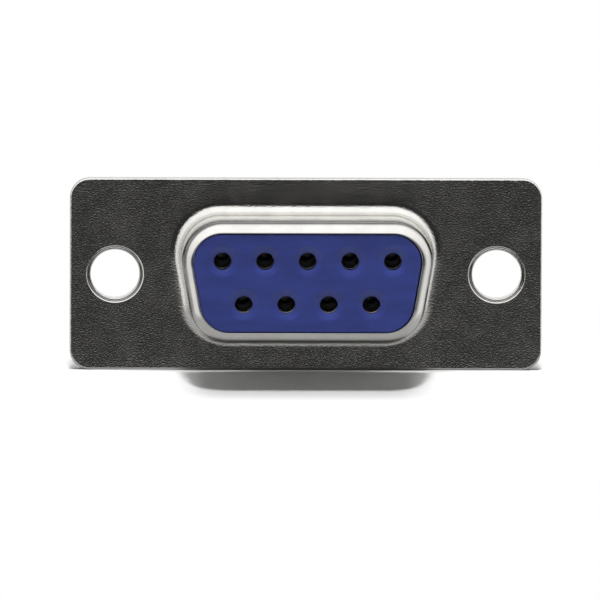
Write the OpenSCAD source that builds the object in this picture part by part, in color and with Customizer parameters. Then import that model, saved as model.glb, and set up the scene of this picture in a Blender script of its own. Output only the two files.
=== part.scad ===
// Panel connector with nine sockets in a D-shaped metal shell, and solder cups behind.
// Millimetres. Each piece is drawn with the mating direction along +Z and the wide side
// of the D towards +Y, then stood up: the mating face looks along -Y, with +Z up.
// The origin is on the flange's front face, midway between the two screw holes.

/* [Flange] */
// Distance from a screw hole's centre out to the flange's end
flange_end = 2.955; // [2.6:0.005:4]
// How far the flange's long edges stand out from the rear box
flange_over = 0.94; // [0.7:0.01:3]
// Corner radius of the flange
flange_r = 1.3; // [0.5:0.1:2.5]
// Thickness of the steel sheet of both shells
sheet_t = 0.45; // [0.35:0.05:0.5]
// Distance from the rear box's side out to a screw hole's centre
screw_side = 2.855; // [2.6:0.005:4]

/* [Eyelets] */
// Diameter of the clear hole for a panel screw
screw_bore = 3.2; // [2.8:0.05:3.4]
// Wall thickness of an eyelet's tube
eyelet_wall = 0.15; // [0.1:0.01:0.2]
// Gap between an eyelet's tube and the flanges that it holds together
eyelet_gap = 0.04; // [0.02:0.01:0.06]
// How far an eyelet's head stands out from its tube, on the back of the flange
head_lip = 0.5; // [0.3:0.05:0.55]
// Thickness of an eyelet's head
head_t = 0.25; // [0.15:0.05:0.4]
// Depth of the countersink that takes an eyelet's flared front end
sink_depth = 0.15; // [0.12:0.01:0.3]
// How far the countersink widens the hole on each side
sink_w = 0.1; // [0.08:0.01:0.3]
// How far an eyelet's flared end sits below the flange's front face
flare_recess = 0.05; // [0.03:0.01:0.1]

/* [Mating shell] */
// Width of the D, measured over its wide side
nose_w = 16.33; // [16:0.01:16.6]
// Height of the D
nose_h = 7.9; // [7.7:0.01:8.1]
// Corner radius of the D
nose_r = 2.6; // [2.3:0.05:2.8]
// Slant of the D's two sides, in degrees
nose_slant = 10; // [8:0.5:12]
// Reach of the D's rim ahead of the flange's front face
nose_len = 6.05; // [5.6:0.05:6.6]
// Radius of the bend between the flange and the D's wall
nose_bend = 0.8; // [0.6:0.05:1]
// Radius of the D's rolled front edge
nose_round = 1.15; // [1:0.05:1.3]
// How far the rolled front edge reaches in from the D's wall
nose_lip = 0.7; // [0.6:0.05:0.8]

/* [Rear shell] */
// How far each side of the rear box stands out from the D
box_side = 1.475; // [1.3:0.005:1.8]
// How far the rear box's top and bottom stand out from the D
box_over = 1.41; // [1.25:0.005:1.6]
// Corner radius of the rear box
box_r = 2; // [1.8:0.1:2.3]
// Reach of the rear box behind the flange's front face
box_depth = 4.4; // [4.2:0.05:4.6]
// Radius of the bend between the rear flange and the box's wall
box_bend = 0.4; // [0.3:0.05:0.6]
// Radius of the box's rolled rear edge
box_round = 0.9; // [0.8:0.05:1]
// How far the rolled rear edge reaches in from the box's wall
box_lip = 1.25; // [1.15:0.05:1.4]

/* [Insulators] */
// Spacing of the contacts along a row
contact_pitch = 2.77; // [2.7:0.01:2.8]
// Spacing of the two rows
row_pitch = 2.84; // [2.8:0.01:2.9]
// Depth of the mating face behind the rim of the D
face_recess = 0.1; // [0.05:0.05:0.3]
// Gap between the mating face's edge and the rolled rim
face_gap = 0.07; // [0.04:0.01:0.1]
// Gap between an insulator and the shell wall round it
shell_gap = 0.05; // [0.03:0.01:0.08]
// Depth of the joint between the two insulators behind the flange's front face
joint_depth = 2.6; // [2.4:0.05:2.8]
// Depth of the rear insulator's back face behind the flange's front face
back_depth = 4.85; // [4.7:0.05:5.2]
// Diameter of a pin hole in the mating face
hole_d = 1.16; // [1.1:0.01:1.2]
// Diameter of a pin hole's lead-in at the face
lead_in_d = 2; // [1.4:0.05:2.2]
// Depth of that lead-in
lead_in_depth = 0.12; // [0.05:0.01:0.3]

/* [Contacts] */
// Bore of a socket, for a pin of 1.02
socket_bore = 1.06; // [1.04:0.01:1.08]
// Wall thickness of a socket
socket_wall = 0.27; // [0.2:0.01:0.3]
// Length of a socket's bore
socket_len = 6.2; // [5.6:0.1:6.6]
// Depth of a socket's mouth behind the mating face
mouth_recess = 1.1; // [1:0.05:1.4]
// Room ahead of a socket's mouth, behind the pin hole
mouth_room = 0.55; // [0.52:0.01:0.6]
// Width of the slot across a socket's mouth
slot_w = 0.16; // [0.12:0.01:0.2]
// Length of that slot
slot_len = 3.4; // [2.5:0.1:4.5]
// Diameter of the shank between the socket and the solder cup
shank_d = 1.9; // [1.8:0.01:1.95]
// How far the collar that the insulators hold stands out from the shank
collar_step = 0.15; // [0.1:0.01:0.18]
// Length of that collar
collar_len = 0.6; // [0.4:0.05:0.8]
// How far the solder cup is set in from the shank
cup_step = 0.05; // [0.03:0.01:0.1]
// Wall thickness of a solder cup
cup_wall = 0.28; // [0.2:0.01:0.32]
// Depth of the solder cups' ends behind the flange's front face
cup_end = 10.4; // [9.6:0.1:11]
// Length of a solder cup's open side
cup_open = 1.7; // [1.4:0.1:1.9]
// How far outward of its axis a solder cup's open side begins
cup_cut = 0.1; // [0.05:0.01:0.2]
// Length of its bore ahead of the open side
cup_closed = 2.1; // [1.9:0.1:2.3]
// Length of the solid part of a solder cup
cup_floor = 0.7; // [0.5:0.1:1]
// Gap between a contact and the insulator round it
contact_gap = 0.05; // [0.03:0.01:0.08]

/* [Hidden] */
wide_row = 5;
narrow_row = 4;
contacts = wide_row + narrow_row;
$fn = 48;
cut_past = 1; // how far a cutter runs past what it cuts

// An outline here is a core polygon, its corners clockwise from the top left, with the
// direction in which each side faces. A wall lies at a distance out from the core, so its
// corner radius is that distance. Where sides are slanted, the straight stretches stand in
// from the corners' surfaces by a hair and run on into the corners, so that they overlap.
function oblong(w, h) = [[-w, h], [w, h], [w, -h], [-w, -h]] / 2;
square_on = [90, 0, -90, -180];
hair = 0.01;
run_on = 0.05;
function slanted(sides) = sides != square_on;
$inset = 0;

box_w = nose_w + 2 * box_side;
box_h = nose_h + 2 * box_over;
screw_pitch = box_w + 2 * screw_side;
flange_w = screw_pitch + 2 * flange_end;
flange_h = box_h + 2 * flange_over;

flange_core = oblong(flange_w - 2 * flange_r, flange_h - 2 * flange_r);
box_core = oblong(box_w - 2 * box_r, box_h - 2 * box_r);
nose_top = nose_w - 2 * nose_r;
nose_rise = nose_h - 2 * nose_r;
nose_bottom = nose_top - 2 * nose_rise * tan(nose_slant);
nose_core = [
    [-nose_top, nose_rise], [nose_top, nose_rise],
    [nose_bottom, -nose_rise], [-nose_bottom, -nose_rise]] / 2;
nose_sides = [90, -nose_slant, -90, nose_slant - 180];

seat_w = 0.1; // width of the flat seam between a shell's inner bend and the rest of its flange

// Heights along the mating direction, from the flange's front face
rear_flange_z = -2 * sheet_t;
nose_roll_z = nose_len - sqrt(pow(nose_round, 2) - pow(nose_round - nose_lip, 2));
box_roll_z = box_round - box_depth;
face_z = nose_len - face_recess;
mouth_z = face_z - mouth_recess;
collar_z = collar_len - joint_depth;
box_lip_z = sheet_t - box_depth;
step_z = (box_roll_z - joint_depth) / 2;
cup_bore_z = cup_open + cup_closed - cup_end;
cup_z = cup_bore_z + cup_floor;

// Where the contacts stand: 1 to 5 along the wide row, 6 to 9 along the narrow one
function row(count, y) = [for (i = [0:count - 1]) [((count - 1) / 2 - i) * contact_pitch, y]];
places = concat(row(wide_row, row_pitch / 2), row(narrow_row, -row_pitch / 2));

socket_r = socket_bore / 2 + socket_wall;
shank_r = shank_d / 2;
collar_r = shank_r + collar_step;
cup_r = shank_r - cup_step;
bore_r = screw_bore / 2;
tube_r = bore_r + eyelet_wall;
flange_hole_r = tube_r + eyelet_gap;
plug_r = nose_r - sheet_t - shell_gap;
block_r = box_r - sheet_t - shell_gap;

// ---- Shapes that several pieces share ----

module stood_up() {
    rotate([90, 0, 0]) children();
}

// The area inside the wall line at a distance out from a core
module outline(core, sides, out) {
    last = len(core) - 1;
    reach = out - (slanted(sides) ? hair : 0);
    polygon([for (i = [0:last], end = [i, (i + 1) % len(core)])
        core[end] + reach * [cos(sides[i]), sin(sides[i])]]);
    for (corner = core) translate(corner) circle(r = out);
}

module slab(core, sides, out, low, high) {
    translate([0, 0, low]) linear_extrude(high - low) outline(core, sides, out);
}

// Carries a section, drawn as distance out and height, along the sides and round the corners
module carried_round(core, sides) {
    count = len(core);
    past = slanted(sides) ? run_on : 0;
    for (i = [0:count - 1]) {
        next = (i + 1) % count;
        translate(core[i]) rotate([90, 0, sides[i]]) translate([0, 0, -past])
            linear_extrude(norm(core[next] - core[i]) + 2 * past)
                let ($inset = slanted(sides) ? hair : 0) children();
        translate(core[next]) rotate([0, 0, sides[next]])
            rotate_extrude(angle = (sides[i] - sides[next] + 360) % 360) children();
    }
}

// A quarter of a bent sheet's section about its centre: inner radius, and the quadrant
module bent_sheet(inner, quadrant) {
    intersection() {
        difference() {
            circle(r = inner + sheet_t - $inset);
            circle(r = inner + $inset);
        }
        scale(quadrant) square(inner + sheet_t);
    }
}

module bar(low, high, r) {
    translate([0, 0, low]) cylinder(h = high - low, r = r);
}

module at_screw_holes() {
    for (side = [-1, 1]) translate([side * screw_pitch / 2, 0, 0]) children();
}

module at_contacts() {
    for (place = places) translate(place) children();
}

// ---- Shells ----

module nose_section() {
    across = sheet_t - 2 * $inset;
    translate([nose_r + nose_bend, $inset - sheet_t]) square([2 * seat_w, across]);
    translate([nose_r + nose_bend, nose_bend]) bent_sheet(nose_bend, [-1, -1]);
    translate([nose_r - sheet_t + $inset, nose_bend]) square([across, nose_roll_z - nose_bend]);
    translate([nose_r - nose_round, nose_roll_z]) intersection() {
        bent_sheet(nose_round - sheet_t, [1, 1]);
        translate([nose_round - nose_lip + $inset, 0]) square([nose_lip, nose_round]);
    }
}

module front_shell() {
    color("dimgray") stood_up() {
        carried_round(nose_core, nose_sides) nose_section();
        difference() {
            slab(flange_core, square_on, flange_r, -sheet_t, 0);
            slab(nose_core, nose_sides, nose_r + nose_bend + seat_w, -cut_past, cut_past);
            at_screw_holes() {
                bar(-cut_past, cut_past, flange_hole_r);
                translate([0, 0, -sink_depth])
                    cylinder(h = sink_depth, r1 = flange_hole_r, r2 = flange_hole_r + sink_w);
            }
        }
    }
}

module box_section() {
    translate([box_r + box_bend, rear_flange_z]) square([2 * seat_w, sheet_t]);
    translate([box_r + box_bend, rear_flange_z - box_bend]) bent_sheet(box_bend, [-1, 1]);
    translate([box_r - sheet_t, box_roll_z])
        square([sheet_t, rear_flange_z - box_bend - box_roll_z]);
    translate([box_r - box_round, box_roll_z]) bent_sheet(box_round - sheet_t, [1, -1]);
    translate([box_r - box_lip, -box_depth]) square([box_lip - box_round, sheet_t]);
}

module rear_shell() {
    color("darkgray") stood_up() {
        carried_round(box_core, square_on) box_section();
        difference() {
            slab(flange_core, square_on, flange_r, rear_flange_z, -sheet_t);
            slab(box_core, square_on, box_r + box_bend + seat_w, rear_flange_z - cut_past, 0);
            at_screw_holes() bar(rear_flange_z - cut_past, 0, flange_hole_r);
        }
    }
}

// ---- Insulators ----

module front_insulator() {
    color("#383f7b") stood_up() difference() {
        union() {
            slab(box_core, square_on, block_r, -joint_depth, -sheet_t);
            slab(nose_core, nose_sides, plug_r, collar_z, nose_roll_z - shell_gap);
            slab(nose_core, nose_sides, nose_r - nose_lip - face_gap, 0, face_z);
        }
        at_contacts() {
            bar(-joint_depth - cut_past, face_z + cut_past, hole_d / 2);
            translate([0, 0, face_z - lead_in_depth])
                cylinder(h = lead_in_depth, r1 = hole_d / 2, r2 = lead_in_d / 2);
            bar(-joint_depth - cut_past, mouth_z + mouth_room, socket_r + contact_gap);
            bar(-joint_depth - cut_past, collar_z, collar_r + contact_gap);
        }
    }
}

module rear_insulator() {
    color("#30366b") stood_up() difference() {
        union() {
            slab(box_core, square_on, block_r, box_roll_z, -joint_depth);
            slab(box_core, square_on, box_r - box_round, box_lip_z, step_z);
            slab(box_core, square_on, box_r - box_lip - face_gap, -back_depth, box_roll_z);
        }
        at_contacts() bar(-back_depth - cut_past, 0, shank_r + contact_gap);
    }
}

// ---- Contacts ----

// A socket in front and a solder cup behind, its open side facing away from the other row
module socket_contact(number) {
    place = places[number - 1];
    outward = sign(place[1]);
    color("silver") stood_up() translate(place) difference() {
        union() {
            bar(collar_z, mouth_z, socket_r);
            bar(-joint_depth, collar_z, collar_r);
            bar(cup_z, -joint_depth, shank_r);
            bar(-cup_end, cup_z, cup_r);
        }
        bar(mouth_z - socket_len, mouth_z + cut_past, socket_bore / 2);
        translate([-socket_bore, -slot_w / 2, mouth_z - slot_len])
            cube([2 * socket_bore, slot_w, slot_len + cut_past]);
        bar(-cup_end - cut_past, cup_bore_z, cup_r - cup_wall);
        translate([-shank_d, outward > 0 ? cup_cut : -shank_d - cup_cut, -cup_end - cut_past])
            cube([2 * shank_d, shank_d, cup_open + cut_past]);
    }
}

// ---- Eyelets ----

// A tube through both flanges, with a flat head behind and a flared rim sunk into the front
module eyelet(side) {
    head_r = tube_r + head_lip;
    head_z = rear_flange_z - head_t;
    flare = sink_w * (1 - flare_recess / sink_depth);
    color("lightgray") stood_up() translate([side * screw_pitch / 2, 0, 0])
        rotate_extrude() polygon([
            [bore_r, head_z], [head_r, head_z], [head_r, rear_flange_z],
            [tube_r, rear_flange_z], [tube_r, -sink_depth],
            [tube_r + flare, -flare_recess], [bore_r + flare / 2, -flare_recess],
            [bore_r, -sink_depth]]);
}

module eyelet_left() { eyelet(-1); }
module eyelet_right() { eyelet(1); }

front_shell();
rear_shell();
front_insulator();
rear_insulator();
for (i = [1:contacts])
    socket_contact(i);
eyelet_left();
eyelet_right();
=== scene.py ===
from math import acos, atan2, cos, degrees, radians, sin, tan

import bmesh
import bpy
from mathutils import Matrix, Vector


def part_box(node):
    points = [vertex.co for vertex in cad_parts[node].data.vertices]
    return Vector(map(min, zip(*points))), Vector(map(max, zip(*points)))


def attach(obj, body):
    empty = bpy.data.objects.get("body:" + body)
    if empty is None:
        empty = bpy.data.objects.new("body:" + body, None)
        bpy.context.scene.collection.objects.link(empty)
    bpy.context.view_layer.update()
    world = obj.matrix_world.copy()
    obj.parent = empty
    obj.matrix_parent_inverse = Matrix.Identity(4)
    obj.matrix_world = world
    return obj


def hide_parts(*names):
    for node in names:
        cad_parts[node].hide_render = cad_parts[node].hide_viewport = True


bl_info = {
    "name": "Nine-way D-shaped connector",
    "version": (1, 0, 0),
    "blender": (4, 5, 0),
    "location": "3D View > Sidebar > Connector",
    "description": "Dresses the packed connector: drawn shells, insulators, contacts, eyelets and the stage",
    "category": "Object",
}

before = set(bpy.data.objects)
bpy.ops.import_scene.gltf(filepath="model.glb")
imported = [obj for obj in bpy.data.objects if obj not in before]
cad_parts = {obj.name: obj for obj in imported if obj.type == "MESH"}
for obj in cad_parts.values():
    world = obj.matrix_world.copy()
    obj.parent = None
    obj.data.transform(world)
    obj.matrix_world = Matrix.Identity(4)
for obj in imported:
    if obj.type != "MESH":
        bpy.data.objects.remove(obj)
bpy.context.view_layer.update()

PER_METRE = 1000.0  # the pieces are shaped in millimetres and brought to metres at the end
MERGE = 1e-4  # vertices this close, in millimetres, are one
CREASE = radians(32)  # a sharper edge than this shades as an edge
NICK = 0.04  # small radius, in millimetres, on sheet edges and on the insulators' front and back edges
EYELET_SPLITS = (223, 40)  # bearings, in degrees, at which the left and right eyelets' spread ends close
UPRIGHT = Matrix.Rotation(radians(90), 4, "X")  # the mating direction, shaped along +Z, comes to face -Y

low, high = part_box("front_shell")
FLANGE_W, FLANGE_H = high.x - low.x, high.z - low.z
NOSE_REACH = -low.y
BOX_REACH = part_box("rear_shell")[1].y
CUP_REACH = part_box("socket_contact_1")[1].y
HOLE_PLACES = []
for number in range(1, 10):
    low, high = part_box(f"socket_contact_{number}")
    HOLE_PLACES.append(((low.x + high.x) / 2 * PER_METRE, (low.z + high.z) / 2 * PER_METRE))
SCREW_PLACES = {}
for side in ("left", "right"):
    low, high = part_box(f"eyelet_{side}")
    SCREW_PLACES[side] = (low.x + high.x) / 2 * PER_METRE


def length(name, description, default):
    return bpy.props.FloatProperty(
        name=name, description=description, default=default, min=0.0, unit="LENGTH", precision=6
    )


def colour(name, description, default):
    return bpy.props.FloatVectorProperty(
        name=name, description=description, default=default, min=0.0, max=1.0, size=3, subtype="COLOR"
    )


def share(name, description, default):
    return bpy.props.FloatProperty(
        name=name, description=description, default=default, min=0.0, max=1.0, subtype="FACTOR"
    )


class ShellSizes(bpy.types.PropertyGroup):
    """Sizes of the two drawn steel shells."""

    flange_w: length("Flange width", "Width of both flanges", FLANGE_W)
    flange_h: length("Flange height", "Height of both flanges", FLANGE_H)
    flange_r: length("Flange corner", "Corner radius of the flanges", 0.0013)
    sheet_t: length("Sheet", "Thickness of the steel sheet", 0.00045)
    edge_roll: length("Edge roll", "Radius that blanking leaves on the front flange's edge", 0.00015)
    hole_r: length("Flange hole", "Radius of the hole round an eyelet's tube", 0.00179)
    sink_w: length("Countersink width", "How far the countersink widens the hole", 0.0001)
    sink_depth: length("Countersink depth", "Depth of the countersink", 0.00015)
    nose_w: length("D width", "Width of the D over its wide side", 0.01633)
    nose_h: length("D height", "Height of the D", 0.0079)
    nose_r: length("D corner", "Corner radius of the D", 0.0026)
    nose_slant: bpy.props.FloatProperty(
        name="D slant", description="Slant of the D's sides", default=radians(10), subtype="ANGLE"
    )
    nose_reach: length("D reach", "Reach of the D's rim ahead of the flange", NOSE_REACH)
    nose_bend: length("D bend", "Radius of the bend between flange and D", 0.0008)
    nose_round: length("Rim round", "Radius of the D's rolled front edge", 0.00115)
    nose_lip: length("Rim lip", "How far the rolled front edge reaches in", 0.0007)
    box_w: length("Box width", "Width of the rear box", 0.01928)
    box_h: length("Box height", "Height of the rear box", 0.01072)
    box_r: length("Box corner", "Corner radius of the rear box", 0.002)
    box_reach: length("Box reach", "Reach of the rear box behind the flange's front", BOX_REACH)
    box_bend: length("Box bend", "Radius of the bend between flange and box", 0.0004)
    box_round: length("Box round", "Radius of the box's rolled rear edge", 0.0009)
    box_lip: length("Box lip", "How far the rolled rear edge reaches in", 0.00125)


class InsulatorSizes(bpy.types.PropertyGroup):
    """Sizes of the two moulded insulators."""

    face_recess: length("Face recess", "Depth of the mating face behind the rim", 0.0001)
    face_gap: length("Face gap", "Gap between the mating face's edge and the rim", 0.000055)
    face_shift: length("Face shift", "How far the insulator sits towards the left in its shell", 0.00003)
    wall_gap: length("Wall gap", "Gap between an insulator and the shell's wall", 0.00005)
    joint_depth: length("Joint depth", "Depth of the joint between the insulators", 0.0026)
    back_depth: length("Back depth", "Depth of the rear insulator's back face", 0.00485)
    hole_r: length("Pin hole", "Radius of a pin hole in the mating face", 0.00058)
    lead_in_r: length("Lead-in", "Radius of a pin hole's lead-in at the face", 0.00104)
    lead_in_depth: length("Lead-in depth", "Depth of the lead-in", 0.00012)
    hole_land: length("Hole land", "Length of a pin hole from face to shoulder", 0.00055)


class ContactSizes(bpy.types.PropertyGroup):
    """Sizes of a socket contact and its solder cup."""

    socket_bore: length("Socket bore", "Radius of a socket's bore", 0.00053)
    socket_wall: length("Socket wall", "Wall thickness of a socket", 0.00027)
    socket_depth: length("Bore depth", "Length of a socket's bore", 0.0062)
    mouth_recess: length("Mouth recess", "Depth of a socket's mouth behind the face", 0.0011)
    slot_depth: length("Slot", "Length of the slot across the mouth", 0.0034)
    shank_r: length("Shank", "Radius of the shank", 0.00095)
    collar_step: length("Collar", "How far the collar stands out from the shank", 0.00015)
    collar_len: length("Collar length", "Length of the collar", 0.0006)
    cup_step: length("Cup step", "How far the cup is set in from the shank", 0.00005)
    cup_wall: length("Cup wall", "Wall thickness of a solder cup", 0.00028)
    cup_reach: length("Cup reach", "Depth of the cups' ends behind the flange's front", CUP_REACH)
    cup_open: length("Cup opening", "Length of a solder cup's open side", 0.0017)
    cup_closed: length("Cup bore", "Length of its round bore", 0.0021)
    cup_floor: length("Cup floor", "Length of its solid part", 0.0007)
    clearance: length("Clearance", "Gap between a contact and the insulator", 0.00005)


class EyeletSizes(bpy.types.PropertyGroup):
    """Sizes of the eyelets that hold the flanges together."""

    bore: length("Bore", "Radius of the clear hole", 0.0016)
    wall: length("Wall", "Wall thickness of the tube", 0.00015)
    head_lip: length("Head", "How far the head stands out from the tube", 0.0005)
    head_t: length("Head thickness", "Thickness of the head", 0.00025)
    flare: length("Flare", "How far the front end is spread", 0.00006)
    rim_step: length("Rim step", "Step where the spread end's split closes", 0.00004)
    flare_recess: length("Flare recess", "Depth of the spread end below the flange's front", 0.00005)


class Finishes(bpy.types.PropertyGroup):
    """Colours of the connector's finishes."""

    nickel: colour("Nickel", "Plate on both shells", (0.78, 0.77, 0.74))
    nickel_roughness: share("Nickel roughness", "Roughness of the plate", 0.16)
    eyelet: colour("Eyelet", "Plate on the eyelets", (0.80, 0.79, 0.77))
    moulding: colour("Moulding", "Blue moulded insulators", (0.026, 0.042, 0.215))
    tin: colour("Tin", "Plate on the contacts", (0.72, 0.72, 0.70))


class StageSettings(bpy.types.PropertyGroup):
    """Floor, lights and camera."""

    floor_tone: share("Floor tone", "Lightness of the floor", 0.93)
    fill: share("Fill", "Light from all round", 0.18)
    dark_side: share("Dark side", "What the metal mirrors on the camera's side", 0.028)
    dim_side: share("Dim side", "What the metal mirrors behind the connector", 0.2)
    soft_lamp: bpy.props.FloatProperty(
        name="Soft lamp", description="Strength of the broad lamp overhead", default=1.5
    )
    lamp: bpy.props.FloatProperty(name="Lamp", description="Strength of the main lamp", default=1.9, min=0.0)
    lamp_lean: bpy.props.FloatProperty(
        name="Lamp lean", description="Lean of the main lamp from overhead to the front",
        default=radians(27), subtype="ANGLE"
    )
    camera_rise: bpy.props.FloatProperty(
        name="Camera rise", description="Camera's angle above the mating direction",
        default=radians(5.75), subtype="ANGLE"
    )
    camera_turn: bpy.props.FloatProperty(
        name="Camera turn", description="Camera's angle to the left of the mating direction",
        default=radians(1.18), subtype="ANGLE"
    )
    camera_distance: length("Camera distance", "Distance to the flange", 0.95)


GROUPS = {
    "connector_shell": ShellSizes,
    "connector_insulator": InsulatorSizes,
    "connector_contact": ContactSizes,
    "connector_eyelet": EyeletSizes,
    "connector_finish": Finishes,
    "connector_stage": StageSettings,
}


class Millimetres:
    """A property group's lengths, read in millimetres."""

    def __init__(self, group):
        self.group = group

    def __getattr__(self, name):
        return getattr(self.group, name) * PER_METRE


# ---- Shaping ----


def arc(centre, radius, start, end, steps=12):
    """Points on an arc, angles in degrees."""
    turn = radians(end - start) / steps
    return [
        (centre[0] + radius * cos(radians(start) + turn * i), centre[1] + radius * sin(radians(start) + turn * i))
        for i in range(steps + 1)
    ]


def oblong(w, h, r):
    """Core corners, clockwise from the top left, and the direction in which each side faces."""
    x, y = w / 2 - r, h / 2 - r
    return [(-x, y), (x, y), (x, -y), (-x, -y)], [90, 0, -90, -180]


def nose_outline(s):
    """The D: wide side up, with slanted ends."""
    slant = s.group.nose_slant
    x, y = s.nose_w / 2 - s.nose_r, s.nose_h / 2 - s.nose_r
    x_low = x - 2 * y * tan(slant)
    turn = degrees(slant)
    return [(-x, y), (x, y), (x_low, -y), (-x_low, -y)], [90, -turn, -90, turn - 180]


def box_outline(s):
    return oblong(s.box_w, s.box_h, s.box_r)


def draw_line(bm, points):
    """Joins the points by edges and returns the edges."""
    verts = [bm.verts.new(p) for p in points]
    return [bm.edges.new(pair) for pair in zip(verts, verts[1:])]


def new_ends(made):
    """The edges among what an extrusion made that run between new vertices only."""
    fresh = {v for v in made if isinstance(v, bmesh.types.BMVert)}
    return [e for e in made if isinstance(e, bmesh.types.BMEdge) and set(e.verts) <= fresh], list(fresh)


def carry_round(bm, section, outline, steps=18, ease=0.15):
    """Carries a section, given as distance out and height, along the outline's sides and round its corners."""
    core, sides = outline
    facing = Vector((cos(radians(sides[0])), sin(radians(sides[0]))))
    start = Vector(core[0])
    edges = draw_line(bm, [(*(start + facing * out), height) for out, height in section])
    for i in range(len(core)):
        step = i + 1 if i + 1 < len(core) else 0
        way = Vector((*core[step], 0)) - Vector((*core[i], 0))
        run = way.length
        for part in (ease, run - 2 * ease, ease):
            edges, verts = new_ends(bmesh.ops.extrude_edge_only(bm, edges=edges)["geom"])
            bmesh.ops.translate(bm, verts=verts, vec=way * (part / run))
        turn = (sides[i] - sides[step]) % 360
        spun = bmesh.ops.spin(
            bm, geom=edges + verts, cent=(*core[step], 0), axis=(0, 0, 1), angle=-radians(turn), steps=steps
        )["geom_last"]
        edges = [e for e in spun if isinstance(e, bmesh.types.BMEdge)]
    bmesh.ops.remove_doubles(bm, verts=bm.verts[:], dist=MERGE)


def turn_round(bm, profile, centre=(0, 0), steps=48, closed=False):
    """Turns a profile, given as radius and height, into a round piece or the wall of a round hole."""
    edges = draw_line(bm, [(centre[0] + r, centre[1], height) for r, height in profile])
    if closed:
        first, last = edges[0].verts[0], edges[-1].verts[1]
        edges.append(bm.edges.new((last, first)))
    verts = list({v for e in edges for v in e.verts})
    bmesh.ops.spin(
        bm, geom=edges + verts, cent=(*centre, 0), axis=(0, 0, 1), angle=radians(360), steps=steps, use_merge=True
    )


def close_level(bm, height, facing):
    """Fills between all open edges at one height."""
    edges = [e for e in bm.edges if e.is_boundary and all(abs(v.co.z - height) < MERGE for v in e.verts)]
    made = bmesh.ops.triangle_fill(bm, edges=edges, use_beauty=True, normal=(0, 0, facing))["geom"]
    faces = [f for f in made if isinstance(f, bmesh.types.BMFace)]
    if not faces:
        raise RuntimeError(f"nothing closed the level at {height} mm")
    return faces


def finish_piece(name, bm, material, nodes, flat=()):
    """Merges doubles, turns faces outwards, marks creases, stands the piece up and puts it in the frame."""
    for face in flat:
        for edge in face.edges:
            if any(f not in flat for f in edge.link_faces):
                edge.smooth = False
    bmesh.ops.remove_doubles(bm, verts=bm.verts[:], dist=MERGE)
    bmesh.ops.recalc_face_normals(bm, faces=bm.faces[:])
    open_edges = [e for e in bm.edges if not e.is_manifold]
    if open_edges:
        raise RuntimeError(f"{name} has {len(open_edges)} open edges, such as {open_edges[0].verts[0].co}")
    for edge in bm.edges:
        if edge.calc_face_angle(0.0) > CREASE:
            edge.smooth = False
    for face in bm.faces:
        face.smooth = True
    bmesh.ops.transform(bm, matrix=Matrix.Scale(1 / PER_METRE, 4) @ UPRIGHT, verts=bm.verts[:])
    mesh = bpy.data.meshes.new(name)
    bm.to_mesh(mesh)
    bm.free()
    mesh.materials.append(material)
    piece = bpy.data.objects.new(name, mesh)
    bpy.context.scene.collection.objects.link(piece)
    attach(piece, "root")
    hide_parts(*nodes)
    return piece


# ---- Finishes ----


class Nodes:
    """Puts shader nodes in a tree and joins them."""

    def __init__(self, tree):
        self.tree = tree
        tree.nodes.clear()

    def add(self, kind, settings=None, **sockets):
        node = self.tree.nodes.new(kind)
        for name, value in (settings or {}).items():
            setattr(node, name, value)
        for name, value in sockets.items():
            self.feed(node, name.replace("_", " "), value)
        return node

    def feed(self, node, socket, value):
        target = node.inputs[int(socket) if socket.isdigit() else socket]
        if isinstance(value, bpy.types.NodeSocket):
            self.tree.links.new(value, target)
        else:
            target.default_value = value

    def maths(self, operation, a, b=0.0, c=None):
        node = self.tree.nodes.new("ShaderNodeMath")
        node.operation = operation
        for i, value in enumerate((a, b) if c is None else (a, b, c)):
            self.feed(node, str(i), value)
        return node.outputs[0]

    def ramp(self, value, low, high, to_low=0.0, to_high=1.0):
        """Eases from one level to another as the value goes from low to high."""
        node = self.tree.nodes.new("ShaderNodeMapRange")
        node.interpolation_type = "SMOOTHSTEP"
        ends = (("From Min", low), ("From Max", high), ("To Min", to_low), ("To Max", to_high))
        for name, x in (("Value", value), *ends):
            self.feed(node, name, x)
        return node.outputs["Result"]

    def mix_shaders(self, factor, a, b):
        node = self.tree.nodes.new("ShaderNodeMixShader")
        self.feed(node, "0", factor)
        for i, shader in ((1, a), (2, b)):
            self.tree.links.new(shader.outputs[0], node.inputs[i])
        return node

    def blend(self, factor, a, b):
        node = self.tree.nodes.new("ShaderNodeMix")
        node.data_type = "RGBA"
        self.feed(node, "0", factor)
        for i, value in ((6, a), (7, b)):
            self.feed(node, str(i), value)
        return node.outputs[2]


def grey(level):
    return (level, level, level, 1.0)


def new_material(name):
    material = bpy.data.materials.new(name)
    material.use_nodes = True
    nodes = Nodes(material.node_tree)
    out = nodes.add("ShaderNodeOutputMaterial")
    shader = nodes.add("ShaderNodeBsdfPrincipled")
    nodes.tree.links.new(shader.outputs["BSDF"], out.inputs["Surface"])
    return material, nodes, shader


def noise(nodes, place, size, detail=2.0, rough=0.5):
    """Noise whose features are about the given size, in metres."""
    node = nodes.add("ShaderNodeTexNoise", Vector=place, Scale=1.0 / size, Detail=detail, Roughness=rough)
    return node.outputs["Fac"]


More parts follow.
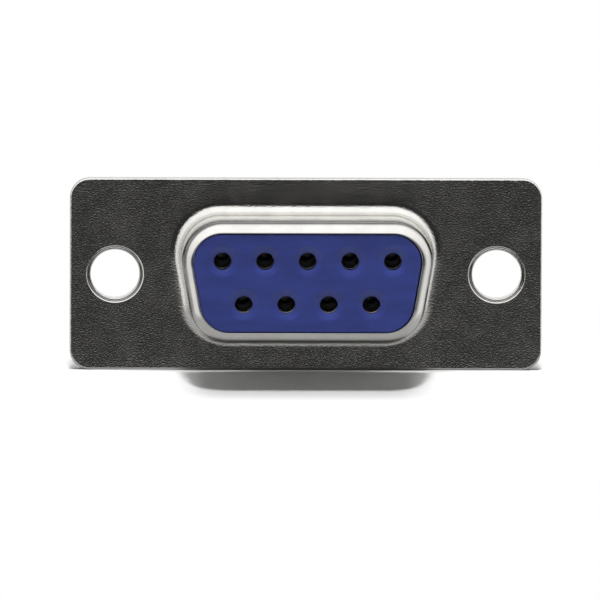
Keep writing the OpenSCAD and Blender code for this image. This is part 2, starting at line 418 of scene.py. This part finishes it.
def plated(name, tone, roughness, grain=0.0001, grain_height=0.000014, wave_height=0.000005):
    """Bright plate over steel: a fine orange-peel grain, slow waves of the sheet and faint cloudiness."""
    material, nodes, shader = new_material(name)
    place = nodes.add("ShaderNodeTexCoord").outputs["Object"]
    cloud = noise(nodes, place, 0.0022, 3.0, 0.6)
    fine = noise(nodes, place, grain, 1.0, 0.4)
    ahead = nodes.maths("MULTIPLY", nodes.add("ShaderNodeSeparateXYZ", Vector=place).outputs["Y"], -1.0)
    fine = nodes.maths("MULTIPLY", fine, nodes.ramp(ahead, 0.0003, 0.0012, 1.0, 0.15))
    slow = noise(nodes, place, 0.0016, 2.0, 0.5)
    warm = tuple(c * 0.9 for c in tone) + (1.0,)
    nodes.feed(shader, "Base Color", nodes.blend(nodes.ramp(cloud, 0.35, 0.7), warm, (*tone, 1.0)))
    nodes.feed(shader, "Metallic", 1.0)
    nodes.feed(shader, "Roughness", nodes.ramp(cloud, 0.3, 0.75, roughness * 0.85, roughness * 1.2))
    waves = nodes.add("ShaderNodeBump", Strength=1.0, Distance=wave_height, Height=slow)
    peel = nodes.add(
        "ShaderNodeBump", Strength=1.0, Distance=grain_height, Height=fine, Normal=waves.outputs["Normal"]
    )
    nodes.feed(shader, "Normal", peel.outputs["Normal"])
    return material


def moulded(name, tone):
    """Satin thermoplastic with faint flow marks and a fine grain."""
    material, nodes, shader = new_material(name)
    place = nodes.add("ShaderNodeTexCoord").outputs["Object"]
    flat = nodes.add("ShaderNodeMapping", Vector=place, Scale=(0.35, 1.0, 1.6)).outputs["Vector"]
    flow = noise(nodes, flat, 0.0011, 3.0, 0.55)
    grain = noise(nodes, place, 0.00012, 2.0, 0.6)
    dull = tuple(c * 0.88 for c in tone) + (1.0,)
    lit = tuple(min(1.0, c * 1.1) for c in tone) + (1.0,)
    nodes.feed(shader, "Base Color", nodes.blend(nodes.ramp(flow, 0.3, 0.72), dull, lit))
    nodes.feed(shader, "Roughness", nodes.ramp(grain, 0.2, 0.8, 0.42, 0.56))
    nodes.feed(shader, "IOR", 1.5)
    bump = nodes.add("ShaderNodeBump", Strength=1.0, Distance=0.0000012, Height=grain)
    nodes.feed(shader, "Normal", bump.outputs["Normal"])
    return material


def finish(name):
    """One of the connector's finishes, made when it is first asked for."""
    made = bpy.data.materials.get(name)
    if made:
        return made
    tones = bpy.context.scene.connector_finish
    if name == "nickel_plate":
        return plated(name, tuple(tones.nickel), tones.nickel_roughness)
    if name == "eyelet_plate":
        return plated(name, tuple(tones.eyelet), 0.14, grain_height=0.0000003)
    if name == "tin_plate":
        return plated(name, tuple(tones.tin), 0.24, grain=0.00006, grain_height=0.0000004)
    return moulded(name, tuple(tones.moulding))


# ---- Pieces ----


def screw_hole_walls(bm, profile):
    for x in SCREW_PLACES.values():
        turn_round(bm, profile, (x, 0), steps=64)


class ConnectorFrontShell(bpy.types.Operator):
    """Draws the front shell: the D with its rolled rim, and the front flange"""

    bl_idname = "connector.front_shell"
    bl_label = "Front shell"

    def execute(self, context):
        s = Millimetres(context.scene.connector_shell)
        t, soft, nick = s.sheet_t, 0.04, NICK
        bend_out = s.nose_r + s.nose_bend
        roll = s.nose_r - s.nose_round
        # the lip's outer corner is rounded by a small arc inside the roll
        turn = acos((s.nose_round - s.nose_lip + soft) / (s.nose_round - soft))
        roll_z = s.nose_reach - soft - (s.nose_round - soft) * sin(turn)
        small = (roll + (s.nose_round - soft) * cos(turn), roll_z + (s.nose_round - soft) * sin(turn))
        back = acos((s.nose_round - s.nose_lip) / (s.nose_round - t))
        section = (
            arc((bend_out, s.nose_bend), s.nose_bend, 270, 180, 14)
            + arc((roll, roll_z), s.nose_round, 0, degrees(turn), 14)
            + arc(small, soft, degrees(turn), 180, 8)[1:]
            + arc((roll, roll_z), s.nose_round - t, degrees(back), 0, 8)
            + arc((bend_out, s.nose_bend), s.nose_bend + t, 180, 270, 12)
        )
        bm = bmesh.new()
        carry_round(bm, section, nose_outline(s), steps=24)
        edge = (
            arc((s.flange_r - s.edge_roll, -s.edge_roll), s.edge_roll, 90, 0, 12)
            + arc((s.flange_r - nick, nick - t), nick, 0, -90, 3)
        )
        carry_round(bm, edge, oblong(s.flange_w, s.flange_h, s.flange_r), steps=20)
        screw_hole_walls(bm, [
            (s.hole_r + s.sink_w, 0), (s.hole_r + 0.4 * s.sink_w, -0.3 * s.sink_depth), (s.hole_r, -s.sink_depth),
            (s.hole_r, -t)])
        flat = close_level(bm, 0, 1) + close_level(bm, -t, -1)
        finish_piece("front_shell_drawn", bm, finish("nickel_plate"), ["front_shell"], flat)
        return {"FINISHED"}


class ConnectorRearShell(bpy.types.Operator):
    """Draws the rear shell: the box with its rolled edge, and the rear flange"""

    bl_idname = "connector.rear_shell"
    bl_label = "Rear shell"

    def execute(self, context):
        s = Millimetres(context.scene.connector_shell)
        t, soft, nick = s.sheet_t, 0.1, NICK
        back = -2 * t
        bend = (s.box_r + s.box_bend, back - s.box_bend)
        roll = (s.box_r - s.box_round, s.box_round - s.box_reach)
        lip = s.box_r - s.box_lip
        section = (
            arc(bend, s.box_bend, 90, 180, 10)
            + arc(roll, s.box_round, 0, -90, 14)
            + arc((lip + soft, soft - s.box_reach), soft, -90, -180, 6)
            + [(lip, t - s.box_reach)]
            + arc(roll, s.box_round - t, -90, 0, 10)
            + arc(bend, s.box_bend + t, 180, 90, 10)
        )
        bm = bmesh.new()
        carry_round(bm, section, box_outline(s), steps=24)
        edge = (
            arc((s.flange_r - nick, -t - nick), nick, 90, 0, 3)
            + arc((s.flange_r - 3 * nick, back + 3 * nick), 3 * nick, 0, -90, 6)
        )
        carry_round(bm, edge, oblong(s.flange_w, s.flange_h, s.flange_r), steps=20)
        screw_hole_walls(bm, [(s.hole_r, -t), (s.hole_r, back)])
        flat = close_level(bm, -t, 1) + close_level(bm, back, -1)
        finish_piece("rear_shell_drawn", bm, finish("nickel_plate"), ["rear_shell"], flat)
        return {"FINISHED"}


class ConnectorInsulators(bpy.types.Operator):
    """Moulds the two insulators, with a lead-in, pin hole and seat for each contact"""

    bl_idname = "connector.insulators"
    bl_label = "Insulators"

    def execute(self, context):
        s = Millimetres(context.scene.connector_shell)
        i = Millimetres(context.scene.connector_insulator)
        c = Millimetres(context.scene.connector_contact)
        blue, nick = finish("blue_moulding"), NICK
        t, joint = s.sheet_t, -i.joint_depth
        face = s.nose_reach - i.face_recess
        shoulder = s.nose_reach - s.nose_round
        block, plug = s.box_r - t - i.wall_gap, s.nose_r - t - i.wall_gap
        boss = s.nose_r - s.nose_lip - i.face_gap
        seat_r = c.socket_bore + c.socket_wall + c.clearance
        collar_r = c.shank_r + c.collar_step + c.clearance
        collar_z = c.collar_len - i.joint_depth
        nib = 0.03  # bevel where the lead-in meets the pin hole

        bm = bmesh.new()
        carry_round(bm, [(block, joint), (block, -t)], box_outline(s), steps=12)
        before = set(bm.verts)
        carry_round(
            bm, [(plug, -t), (plug, shoulder), (boss, shoulder)] + arc((boss - nick, face - nick), nick, 0, 90, 4),
            nose_outline(s), steps=20
        )
        bmesh.ops.translate(bm, verts=[v for v in bm.verts if v not in before], vec=(-i.face_shift, 0, 0))
        for place in HOLE_PLACES:
            turn_round(
                bm,
                [(i.lead_in_r, face), (i.hole_r + nib, face - i.lead_in_depth),
                 (i.hole_r, face - i.lead_in_depth - nib), (i.hole_r, face - i.hole_land),
                 (seat_r, face - i.hole_land), (seat_r, collar_z),
                 (collar_r, collar_z), (collar_r, joint)],
                place, steps=40
            )
        flat = close_level(bm, joint, -1) + close_level(bm, -t, 1) + close_level(bm, face, 1)
        finish_piece("front_insulator_moulded", bm, blue, ["front_insulator"], flat)

        bm = bmesh.new()
        step = s.box_r - s.box_round
        rear_boss = s.box_r - s.box_lip - 0.07
        roll, lip, back = s.box_round - s.box_reach, t - s.box_reach, -i.back_depth
        carry_round(
            bm,
            [(block, joint), (block, roll), (step, roll), (step, lip), (rear_boss, lip)]
            + arc((rear_boss - nick, back + nick), nick, 0, -90, 4),
            box_outline(s), steps=14
        )
        for place in HOLE_PLACES:
            turn_round(bm, [(c.shank_r + c.clearance, joint), (c.shank_r + c.clearance, back)], place, steps=40)
        flat = close_level(bm, joint, 1) + close_level(bm, back, -1)
        finish_piece("rear_insulator_moulded", bm, blue, ["rear_insulator"], flat)
        return {"FINISHED"}


class ConnectorContacts(bpy.types.Operator):
    """Turns the nine contacts, each a slotted socket in front and a solder cup behind"""

    bl_idname = "connector.contacts"
    bl_label = "Contacts"

    def execute(self, context):
        s = Millimetres(context.scene.connector_shell)
        i = Millimetres(context.scene.connector_insulator)
        c = Millimetres(context.scene.connector_contact)
        mouth = s.nose_reach - i.face_recess - c.mouth_recess
        socket_r = c.socket_bore + c.socket_wall
        collar_r, cup_r = c.shank_r + c.collar_step, c.shank_r - c.cup_step
        cup_bore = cup_r - c.cup_wall
        collar_z, joint = c.collar_len - i.joint_depth, -i.joint_depth
        end = -c.cup_reach
        open_z, bore_z = end + c.cup_open, end + c.cup_open + c.cup_closed
        cup_z, slot_z = bore_z + c.cup_floor, mouth - c.slot_depth
        soft = 0.05
        nose = 0.1  # radius on the socket's outer mouth
        outside = (
            [(cup_bore, end), (cup_r, end), (cup_r, open_z), (cup_r, cup_z - soft), (c.shank_r, cup_z),
             (c.shank_r, joint), (collar_r, joint), (collar_r, collar_z), (socket_r, collar_z), (socket_r, slot_z)]
            + arc((socket_r - nose, mouth - nose), nose, 0, 90, 5)
        )
        bottom = [(c.socket_bore, slot_z), (c.socket_bore, mouth - c.socket_depth), (0, mouth - c.socket_depth - 0.3)]
        cup_inside = [(0, bore_z + 0.3), (cup_bore, bore_z), (cup_bore, open_z), (cup_bore, end)]
        for number, place in enumerate(HOLE_PLACES, 1):
            bm = bmesh.new()
            lip = 0.03 if place[1] > 0 else 0.1  # the wide row's sockets are sharper inside the mouth
            turn_round(bm, outside + arc((c.socket_bore + lip, mouth - lip), lip, 90, 180, 4) + bottom)
            turn_round(bm, cup_inside)
            bmesh.ops.remove_doubles(bm, verts=bm.verts[:], dist=MERGE)
            wall_up(bm, open_z, end, 7.5, 172.5)
            wall_up(bm, mouth, slot_z, -7.5, 7.5)
            wall_up(bm, mouth, slot_z, 172.5, 187.5)
            if place[1] < 0:
                bmesh.ops.rotate(bm, verts=bm.verts[:], cent=(0, 0, 0), matrix=Matrix.Rotation(radians(180), 3, "Z"))
            bmesh.ops.translate(bm, verts=bm.verts[:], vec=(*place, 0))
            finish_piece(
                f"socket_contact_{number}_turned", bm, finish("tin_plate"), [f"socket_contact_{number}"]
            )
        return {"FINISHED"}


def wall_up(bm, top, bottom, first, last):
    """Opens a turned wall between two heights and two angles, in degrees, and closes the cut with flat walls."""
    low_z, high_z = min(top, bottom), max(top, bottom)
    span = last - first

    def bearing(p):
        return (-degrees(Vector((1, 0)).angle_signed(p.xy, 0.0)) - first) % 360

    def inside(p):
        return low_z - MERGE < p.z < high_z + MERGE

    before = set(bm.edges)
    gone = [
        f for f in bm.faces
        if all(inside(v.co) for v in f.verts) and bearing(f.calc_center_median()) < span
    ]
    floor_z = high_z if abs(high_z) < abs(low_z) else low_z
    bmesh.ops.delete(bm, geom=gone, context="FACES")
    rim = [e for e in bm.edges if e.is_boundary]
    if not rim:
        raise RuntimeError("the cut found no faces")
    corners = [v for v in {v for e in rim for v in e.verts} if abs(v.co.z - floor_z) < MERGE]
    for at in (0.0, span):
        pair = [v for v in corners if abs((bearing(v.co) - at + 180) % 360 - 180) < 0.5]
        joined = bm.edges.new(pair)
        side = [joined] + [
            e for e in rim if all(abs((bearing(v.co) - at + 180) % 360 - 180) < 0.5 for v in e.verts)
        ]
        bmesh.ops.contextual_create(bm, geom=side)
    rest = [e for e in bm.edges if e.is_boundary]
    bmesh.ops.triangle_fill(bm, edges=rest, use_beauty=True)


def sink_rim(bm, below, step, start):
    """Lets a spun rim sink evenly from one bearing round to the same bearing, where it ends in a step."""
    whole = radians(360)
    for v in bm.verts:
        if v.co.z > below:
            v.co.z -= step * ((atan2(v.co.y, v.co.x) - start) % whole) / whole


class ConnectorEyelets(bpy.types.Operator):
    """Spins the two eyelets, spread in front and headed behind"""

    bl_idname = "connector.eyelets"
    bl_label = "Eyelets"

    def execute(self, context):
        s = Millimetres(context.scene.connector_shell)
        e = Millimetres(context.scene.connector_eyelet)
        tube = e.bore + e.wall
        head_r, back = tube + e.head_lip, -2 * s.sheet_t
        head_z = back - e.head_t
        soft = 0.05
        bead = (e.wall + e.flare) / 2
        crest = (e.bore + bead, -e.flare_recess - bead)
        profile = (
            arc((e.bore + soft, head_z + soft), soft, 180, 270, 4)
            + arc((head_r - soft, head_z + soft), soft, 270, 360, 4)
            + [(head_r, back - 0.01), (head_r - 0.01, back), (tube, back), (tube, crest[1] - 0.12)]
            + arc(crest, bead, 0, 180, 16)
        )
        for (side, x), split in zip(SCREW_PLACES.items(), EYELET_SPLITS):
            bm = bmesh.new()
            turn_round(bm, profile, steps=96, closed=True)
            sink_rim(bm, crest[1] - bead, e.rim_step, radians(split))
            bmesh.ops.translate(bm, verts=bm.verts[:], vec=(x, 0, 0))
            finish_piece(f"eyelet_{side}_spun", bm, finish("eyelet_plate"), [f"eyelet_{side}"])
        return {"FINISHED"}


# ---- Stage ----

MIRRORED_FLOOR = 0.4  # how bright the floor is in the metal, against the floor itself
MAIN_SPREAD, SOFT_SPREAD = radians(6), radians(26)  # how wide each lamp is
SOFT_LEAN = radians(8)  # how far the soft lamp leans to the front


def sees_white(nodes, paths):
    """1 for the rays that see the floor or backdrop as plain white: the camera's, mirrored and clear ones."""
    return nodes.maths(
        "MAXIMUM", paths["Is Camera Ray"], nodes.maths("MAXIMUM", paths["Is Glossy Ray"], paths["Is Transmission Ray"])
    )


def floor_paint(tone):
    """White floor: lit near the connector, where its shadow falls, and plain white to the camera further off."""
    material = bpy.data.materials.new("floor_paint")
    material.use_nodes = True
    nodes = Nodes(material.node_tree)
    place = nodes.add("ShaderNodeSeparateXYZ", Vector=nodes.add("ShaderNodeTexCoord").outputs["Object"])
    across = nodes.maths("ABSOLUTE", place.outputs["X"])
    behind = nodes.maths("ABSOLUTE", place.outputs["Y"])
    away = nodes.maths("MAXIMUM", nodes.ramp(across, 0.014, 0.024), nodes.ramp(behind, 0.010, 0.020))
    paths = nodes.add("ShaderNodeLightPath").outputs
    colour_seen = nodes.blend(paths["Is Glossy Ray"], grey(tone), grey(tone * MIRRORED_FLOOR))
    lit = nodes.add("ShaderNodeBsdfDiffuse", Color=colour_seen)
    white = nodes.add("ShaderNodeEmission", Color=grey(1.0), Strength=1.0)
    clear = nodes.add("ShaderNodeBsdfTransparent")
    direct = nodes.maths("MAXIMUM", paths["Is Camera Ray"], paths["Is Transmission Ray"])
    far = nodes.mix_shaders(direct, clear, white)
    seen = nodes.mix_shaders(nodes.maths("MULTIPLY", away, sees_white(nodes, paths)), lit, far)
    out = nodes.add("ShaderNodeOutputMaterial")
    nodes.tree.links.new(seen.outputs[0], out.inputs["Surface"])
    return material


def make_floor(tone, height):
    """A level floor under and behind the flange that falls away gently in front of it."""
    bend, fall, reach = 2.0, 15.0, 3000.0
    centre = (-0.3, height - bend)
    curve = arc(centre, bend, 90 + fall, 90, 16)
    front = (curve[0][0] - reach, curve[0][1] - reach * tan(radians(fall)))
    bm = bmesh.new()
    edges = draw_line(bm, [(-reach, y, z) for y, z in [front] + curve + [(reach, height)]])
    made, verts = new_ends(bmesh.ops.extrude_edge_only(bm, edges=edges)["geom"])
    bmesh.ops.translate(bm, verts=verts, vec=(2 * reach, 0, 0))
    for f in bm.faces:
        f.normal_update()
        if f.normal.z < 0:
            f.normal_flip()
        f.smooth = True
    bmesh.ops.transform(bm, matrix=Matrix.Scale(1 / PER_METRE, 4), verts=bm.verts[:])
    mesh = bpy.data.meshes.new("floor")
    bm.to_mesh(mesh)
    bm.free()
    mesh.materials.append(floor_paint(tone))
    floor = bpy.data.objects.new("floor", mesh)
    bpy.context.scene.collection.objects.link(floor)


def make_world(fill, dark, dim):
    """White all round for the camera, an even fill, and for the metal a bright ring round a dark camera side."""
    world = bpy.data.worlds.new("studio")
    world.use_nodes = True
    bpy.context.scene.world = world
    nodes = Nodes(world.node_tree)
    part = nodes.add("ShaderNodeSeparateXYZ", Vector=nodes.add("ShaderNodeTexCoord").outputs["Generated"]).outputs
    angle = nodes.maths("ARCCOSINE", nodes.maths("MULTIPLY", part["Y"], -1.0))
    out = nodes.maths("MAXIMUM", nodes.maths("SINE", angle), 0.01)
    side = nodes.maths("DIVIDE", part["X"], out)
    lift = nodes.maths("MAXIMUM", nodes.maths("DIVIDE", part["Z"], out), 0.0)

    def edge(middle, by_side, by_lift, soft):
        """An edge of the ring, in degrees from the mating direction, that changes to the right and upwards."""
        centre = nodes.maths("MULTIPLY_ADD", side, radians(by_side), radians(middle))
        centre = nodes.maths("MULTIPLY_ADD", lift, radians(by_lift), centre)
        reach = nodes.maths("MULTIPLY_ADD", side, radians(soft / 2), radians(soft))
        return nodes.ramp(angle, nodes.maths("SUBTRACT", centre, reach), nodes.maths("ADD", centre, reach))

    inner = edge(66, 6, -29, 9)
    outer = edge(110, 12, 8, 16)
    room = nodes.blend(nodes.ramp(angle, radians(80), radians(100)), grey(dark), grey(dim))
    room = nodes.blend(nodes.ramp(angle, radians(140), radians(160)), room, grey(1.0))
    # a glow below the level in front, which the flange's grain catches
    below = nodes.ramp(part["Z"], -0.12, -0.42, 0.0, 0.42)
    room = nodes.blend(below, room, grey(1.0))
    bright = nodes.maths("MULTIPLY_ADD", lift, 0.45, 0.9)
    ring = nodes.add("ShaderNodeCombineColor", Red=bright, Green=bright, Blue=bright).outputs["Color"]
    room = nodes.blend(nodes.maths("MULTIPLY", inner, nodes.maths("SUBTRACT", 1.0, outer)), room, ring)
    paths = nodes.add("ShaderNodeLightPath").outputs
    tone = nodes.blend(paths["Is Glossy Ray"], grey(fill), room)
    clear = nodes.maths("MAXIMUM", paths["Is Camera Ray"], paths["Is Transmission Ray"])
    tone = nodes.blend(clear, tone, grey(1.0))
    back = nodes.add("ShaderNodeBackground", Color=tone, Strength=1.0)
    out = nodes.add("ShaderNodeOutputWorld")
    nodes.tree.links.new(back.outputs[0], out.inputs["Surface"])


def make_lamp(name, strength, lean, spread):
    lamp = bpy.data.lights.new(name, "SUN")
    lamp.energy = strength
    lamp.angle = spread
    holder = bpy.data.objects.new(name, lamp)
    holder.rotation_euler = (lean, 0, 0)
    holder.visible_glossy = False
    bpy.context.scene.collection.objects.link(holder)


def make_camera(rise, turn, distance):
    """Looks at the flange, which sits a little above and right of the middle."""
    view_w, sensor = 0.03927, 36.0  # width seen at the flange, in metres, and the sensor's, in millimetres
    aim = (-0.00038, -0.00168)  # how far right and up of the origin the view is centred, in metres
    roll = radians(0.24)
    way = Vector((-sin(turn) * cos(rise), -cos(turn) * cos(rise), sin(rise)))
    place = way * distance
    right = Vector((0, 0, 1)).cross(way).normalized()
    up = way.cross(right)
    target = right * aim[0] + up * aim[1]
    lens = bpy.data.cameras.new("camera")
    lens.sensor_width = sensor
    lens.lens = sensor * distance / view_w
    lens.clip_end = 10.0
    camera = bpy.data.objects.new("camera", lens)
    camera.matrix_world = (
        Matrix.Translation(place)
        @ (place - target).to_track_quat("Z", "Y").to_matrix().to_4x4()
        @ Matrix.Rotation(roll, 4, "Z")
    )
    bpy.context.scene.collection.objects.link(camera)
    bpy.context.scene.camera = camera


class ConnectorStage(bpy.types.Operator):
    """Sets up the floor, the surroundings, the main lamp and the camera"""

    bl_idname = "connector.stage"
    bl_label = "Stage"

    def execute(self, context):
        stage = context.scene.connector_stage
        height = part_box("front_shell")[0].z * PER_METRE
        make_floor(stage.floor_tone, height)
        make_world(stage.fill, stage.dark_side, stage.dim_side)
        make_lamp("main_lamp", stage.lamp, stage.lamp_lean, MAIN_SPREAD)
        make_lamp("soft_lamp", stage.soft_lamp, SOFT_LEAN, SOFT_SPREAD)
        make_camera(stage.camera_rise, stage.camera_turn, stage.camera_distance)
        context.scene.view_settings.view_transform = "Standard"
        return {"FINISHED"}


STEPS = (
    ConnectorFrontShell,
    ConnectorRearShell,
    ConnectorInsulators,
    ConnectorContacts,
    ConnectorEyelets,
    ConnectorStage,
)


class ConnectorPanel(bpy.types.Panel):
    """Lists the connector's pieces and settings"""

    bl_idname = "VIEW3D_PT_connector"
    bl_label = "Connector"
    bl_space_type = "VIEW_3D"
    bl_region_type = "UI"
    bl_category = "Connector"

    def draw(self, context):
        for step in STEPS:
            self.layout.operator(step.bl_idname)
        for name, group in GROUPS.items():
            column = self.layout.column(heading=group.__doc__)
            for prop in group.__annotations__:
                column.prop(getattr(context.scene, name), prop)


def register():
    for cls in (*GROUPS.values(), *STEPS, ConnectorPanel):
        bpy.utils.register_class(cls)
    for name, group in GROUPS.items():
        setattr(bpy.types.Scene, name, bpy.props.PointerProperty(type=group))


def unregister():
    for name in GROUPS:
        delattr(bpy.types.Scene, name)
    for cls in (ConnectorPanel, *reversed(STEPS), *reversed(GROUPS.values())):
        bpy.utils.unregister_class(cls)


def main():
    register()
    for step in STEPS:
        family, action = step.bl_idname.split(".")
        getattr(getattr(bpy.ops, family), action)()


if __name__ == "__main__":
    main()
